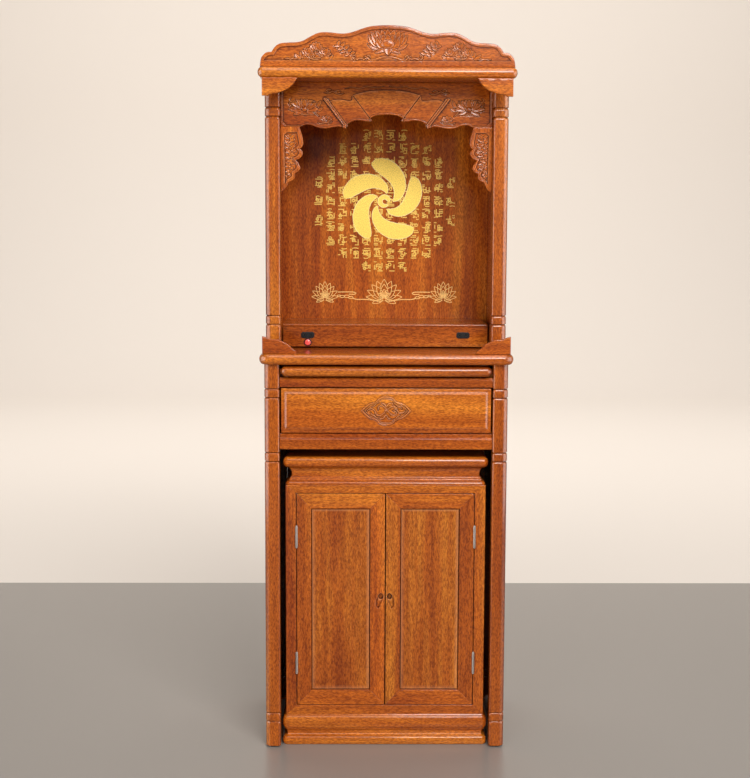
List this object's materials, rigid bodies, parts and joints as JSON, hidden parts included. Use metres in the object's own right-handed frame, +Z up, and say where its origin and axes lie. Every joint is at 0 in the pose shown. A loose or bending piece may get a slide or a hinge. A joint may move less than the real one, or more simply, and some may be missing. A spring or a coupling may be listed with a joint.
{
  "type": "household altar cabinet",
  "caption": "Tall lacquered wooden household altar: open shrine under a carved crown, table, pull-out board, drawer and a small two-door cabinet below.",
  "frame": {"origin": "middle of the footprint, on the floor", "axes": "+X to the right seen from the front, the front faces -Y, +Z up"},
  "size_m": [0.68, 0.48, 1.948],
  "materials": {
    "lacquered_wood": "satin lacquer, warm orange-brown",
    "panel_veneer": "satin lacquer over straight-grained veneer",
    "carcass_wood": "dull stained wood",
    "drawer_wood": "pale sanded wood",
    "hinge_steel": "bright steel",
    "black_plastic": "moulded",
    "pad_plastic": "moulded glide",
    "red_lens": "translucent red button"
  },
  "bodies": {
    "altar_frame": {"button_bezel": "black_plastic", "cabinet_back": "carcass_wood", "cabinet_base": "lacquered_wood", "cabinet_face_frame": "lacquered_wood", "cabinet_floor": "carcass_wood", "cabinet_neck": "lacquered_wood", "cabinet_side_left": "carcass_wood", "cabinet_side_right": "carcass_wood", "cabinet_top": "lacquered_wood", "crown_board": "lacquered_wood", "foot_pad_front_left": "pad_plastic", "foot_pad_front_right": "pad_plastic", "foot_pad_rear_left": "pad_plastic", "foot_pad_rear_right": "pad_plastic", "hinge_lower_left": "hinge_steel", "hinge_lower_right": "hinge_steel", "hinge_upper_left": "hinge_steel", "hinge_upper_right": "hinge_steel", "lower_back": "carcass_wood", "lower_post_front_left": "lacquered_wood", "lower_post_front_right": "lacquered_wood", "lower_post_rear_left": "lacquered_wood", "lower_post_rear_right": "lacquered_wood", "lower_rail": "lacquered_wood", "lower_side_left": "carcass_wood", "lower_side_right": "carcass_wood", "roof_bracket_left": "lacquered_wood", "roof_bracket_right": "lacquered_wood", "roof_slab": "lacquered_wood", "socket_plate_left": "black_plastic", "socket_plate_right": "black_plastic", "step_ledge": "lacquered_wood", "table_slab": "lacquered_wood", "tray_rail": "lacquered_wood", "upper_back": "panel_veneer", "upper_post_front_left": "lacquered_wood", "upper_post_front_right": "lacquered_wood", "upper_post_rear_left": "lacquered_wood", "upper_post_rear_right": "lacquered_wood", "upper_side_left": "panel_veneer", "upper_side_right": "panel_veneer", "valance": "lacquered_wood", "valance_drop_left": "lacquered_wood", "valance_drop_right": "lacquered_wood", "wing_left": "lacquered_wood", "wing_right": "lacquered_wood"},
    "pull_out_board": {"tray_board": "lacquered_wood"},
    "drawer": {"drawer_front": "lacquered_wood", "drawer_box": "drawer_wood"},
    "door_left": {"door_bottom_rail_left": "lacquered_wood", "door_hinge_stile_left": "lacquered_wood", "door_inner_stile_left": "lacquered_wood", "door_panel_left": "panel_veneer", "door_top_rail_left": "lacquered_wood"},
    "door_right": {"door_bottom_rail_right": "lacquered_wood", "door_hinge_stile_right": "lacquered_wood", "door_inner_stile_right": "lacquered_wood", "door_panel_right": "panel_veneer", "door_top_rail_right": "lacquered_wood"},
    "push_button": {"button_cap": "red_lens"}
  },
  "joints": [
    {"name": "board_slide", "type": "slide", "parent": "altar_frame", "child": "pull_out_board", "axis": [0, -1, 0], "range_m": [0, 0.25]},
    {"name": "drawer_slide", "type": "slide", "parent": "altar_frame", "child": "drawer", "axis": [0, -1, 0], "range_m": [0, 0.3]},
    {"name": "door_left_hinge", "type": "hinge", "parent": "altar_frame", "child": "door_left", "pos_m": [-0.243, -0.192, 0.4], "axis": [0, 0, -1], "range_deg": [0, 110]},
    {"name": "door_right_hinge", "type": "hinge", "parent": "altar_frame", "child": "door_right", "pos_m": [0.243, -0.192, 0.4], "axis": [0, 0, 1], "range_deg": [0, 110]},
    {"name": "button_press", "type": "slide", "parent": "altar_frame", "child": "push_button", "axis": [0, 1, 0], "range_m": [0, 0.002], "stiffness_N_per_m": 400}
  ]
}
